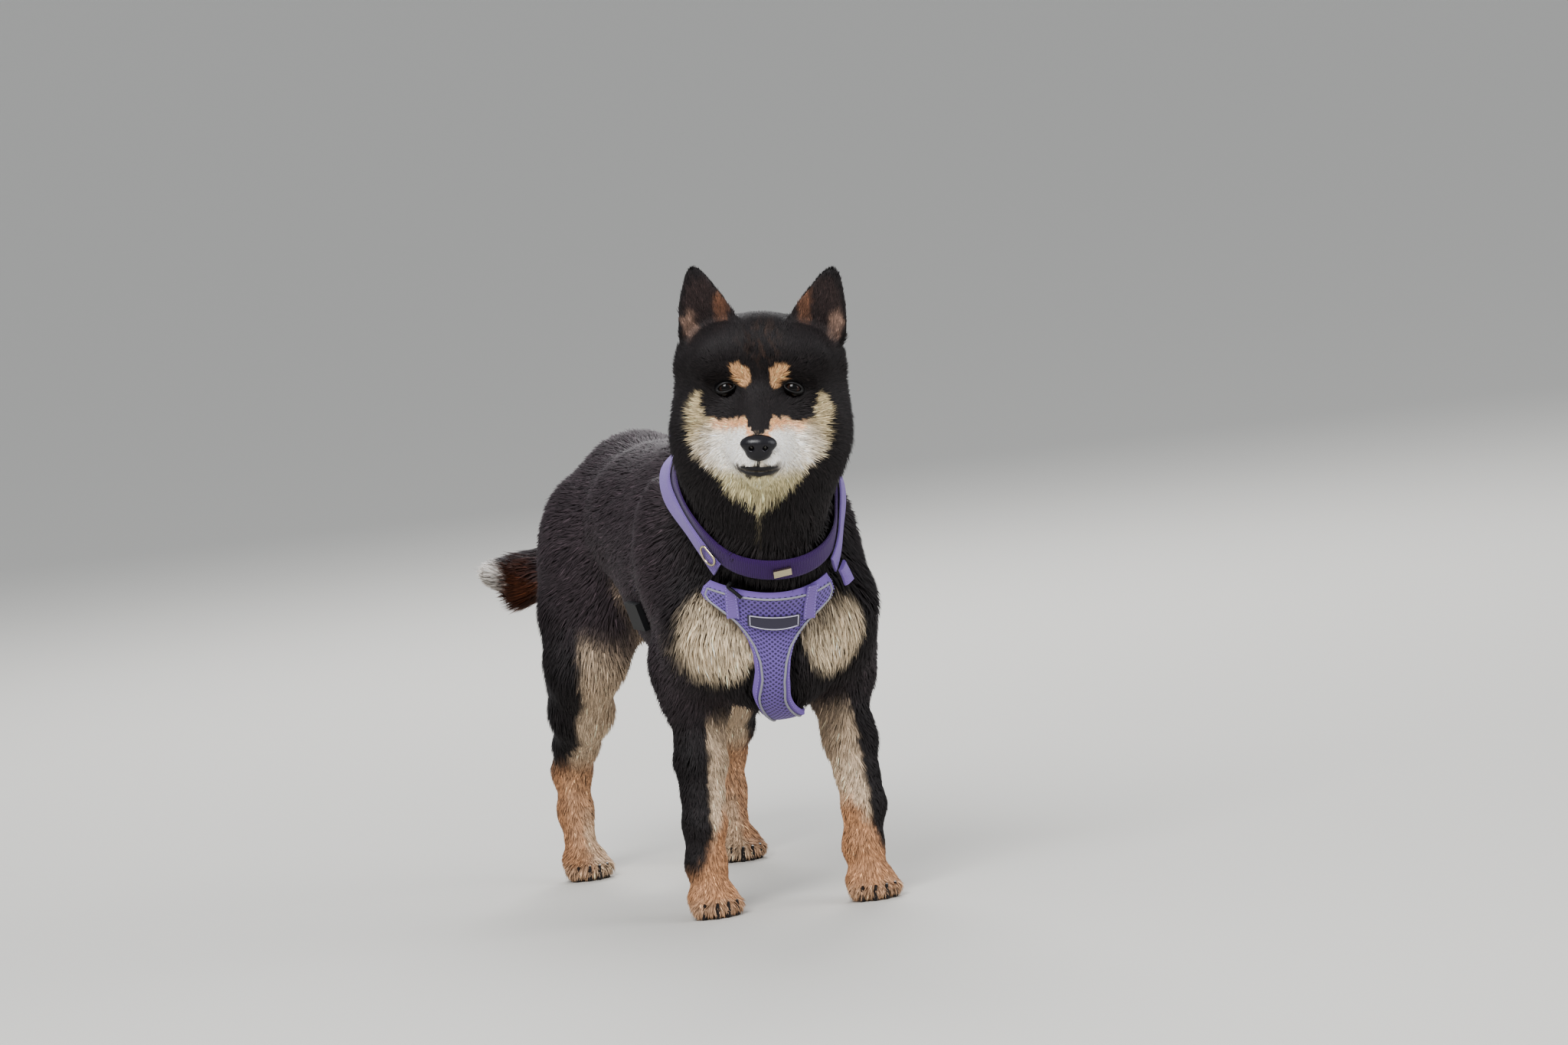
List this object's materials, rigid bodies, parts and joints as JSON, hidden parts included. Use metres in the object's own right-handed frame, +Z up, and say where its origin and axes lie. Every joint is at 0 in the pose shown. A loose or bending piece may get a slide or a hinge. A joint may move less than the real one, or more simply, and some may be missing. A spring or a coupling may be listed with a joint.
{
  "type": "shiba inu",
  "caption": "Life-size standing shiba inu figure with a black and tan coat, pricked ears and a low tail, wearing a padded chest harness and a collar.",
  "frame": {"origin": "centre of the bounding box on the floor under the paws", "axes": "+Z up; the dog faces -Y; its left side is at +X"},
  "size_m": [0.2256, 0.6482, 0.5439],
  "materials": {
    "coat_black": "matt fur",
    "coat_tan": "matt fur",
    "eye": "wet gloss",
    "nose_skin": "damp pebbled skin",
    "claw": "horn",
    "harness_mesh": "padded air mesh",
    "harness_webbing": "woven webbing",
    "collar_webbing": "woven webbing",
    "label": "moulded patch",
    "ring_metal": "polished",
    "buckle": "moulded"
  },
  "bodies": {
    "root": {"back_pad": "harness_mesh", "buckle_left": "buckle", "buckle_right": "buckle", "claw_foreleg_left_1": "claw", "claw_foreleg_left_2": "claw", "claw_foreleg_left_3": "claw", "claw_foreleg_left_4": "claw", "claw_foreleg_right_1": "claw", "claw_foreleg_right_2": "claw", "claw_foreleg_right_3": "claw", "claw_foreleg_right_4": "claw", "claw_hindleg_left_1": "claw", "claw_hindleg_left_2": "claw", "claw_hindleg_left_3": "claw", "claw_hindleg_left_4": "claw", "claw_hindleg_right_1": "claw", "claw_hindleg_right_2": "claw", "claw_hindleg_right_3": "claw", "claw_hindleg_right_4": "claw", "collar": "collar_webbing", "collar_ring": "ring_metal", "collar_slide": "ring_metal", "ear_left": "coat_black", "ear_right": "coat_black", "eye_left": "eye", "eye_right": "eye", "foreleg_left": "coat_tan", "foreleg_right": "coat_tan", "girth_strap_left": "harness_webbing", "girth_strap_right": "harness_webbing", "harness_label": "label", "harness_plate": "harness_mesh", "head": "coat_black", "hindleg_left": "coat_tan", "hindleg_right": "coat_tan", "neck": "coat_black", "neck_strap_left": "harness_webbing", "neck_strap_right": "harness_webbing", "nose": "nose_skin", "pad_ring": "ring_metal", "tail": "coat_black", "trunk": "coat_black"}
  },
  "joints": []
}
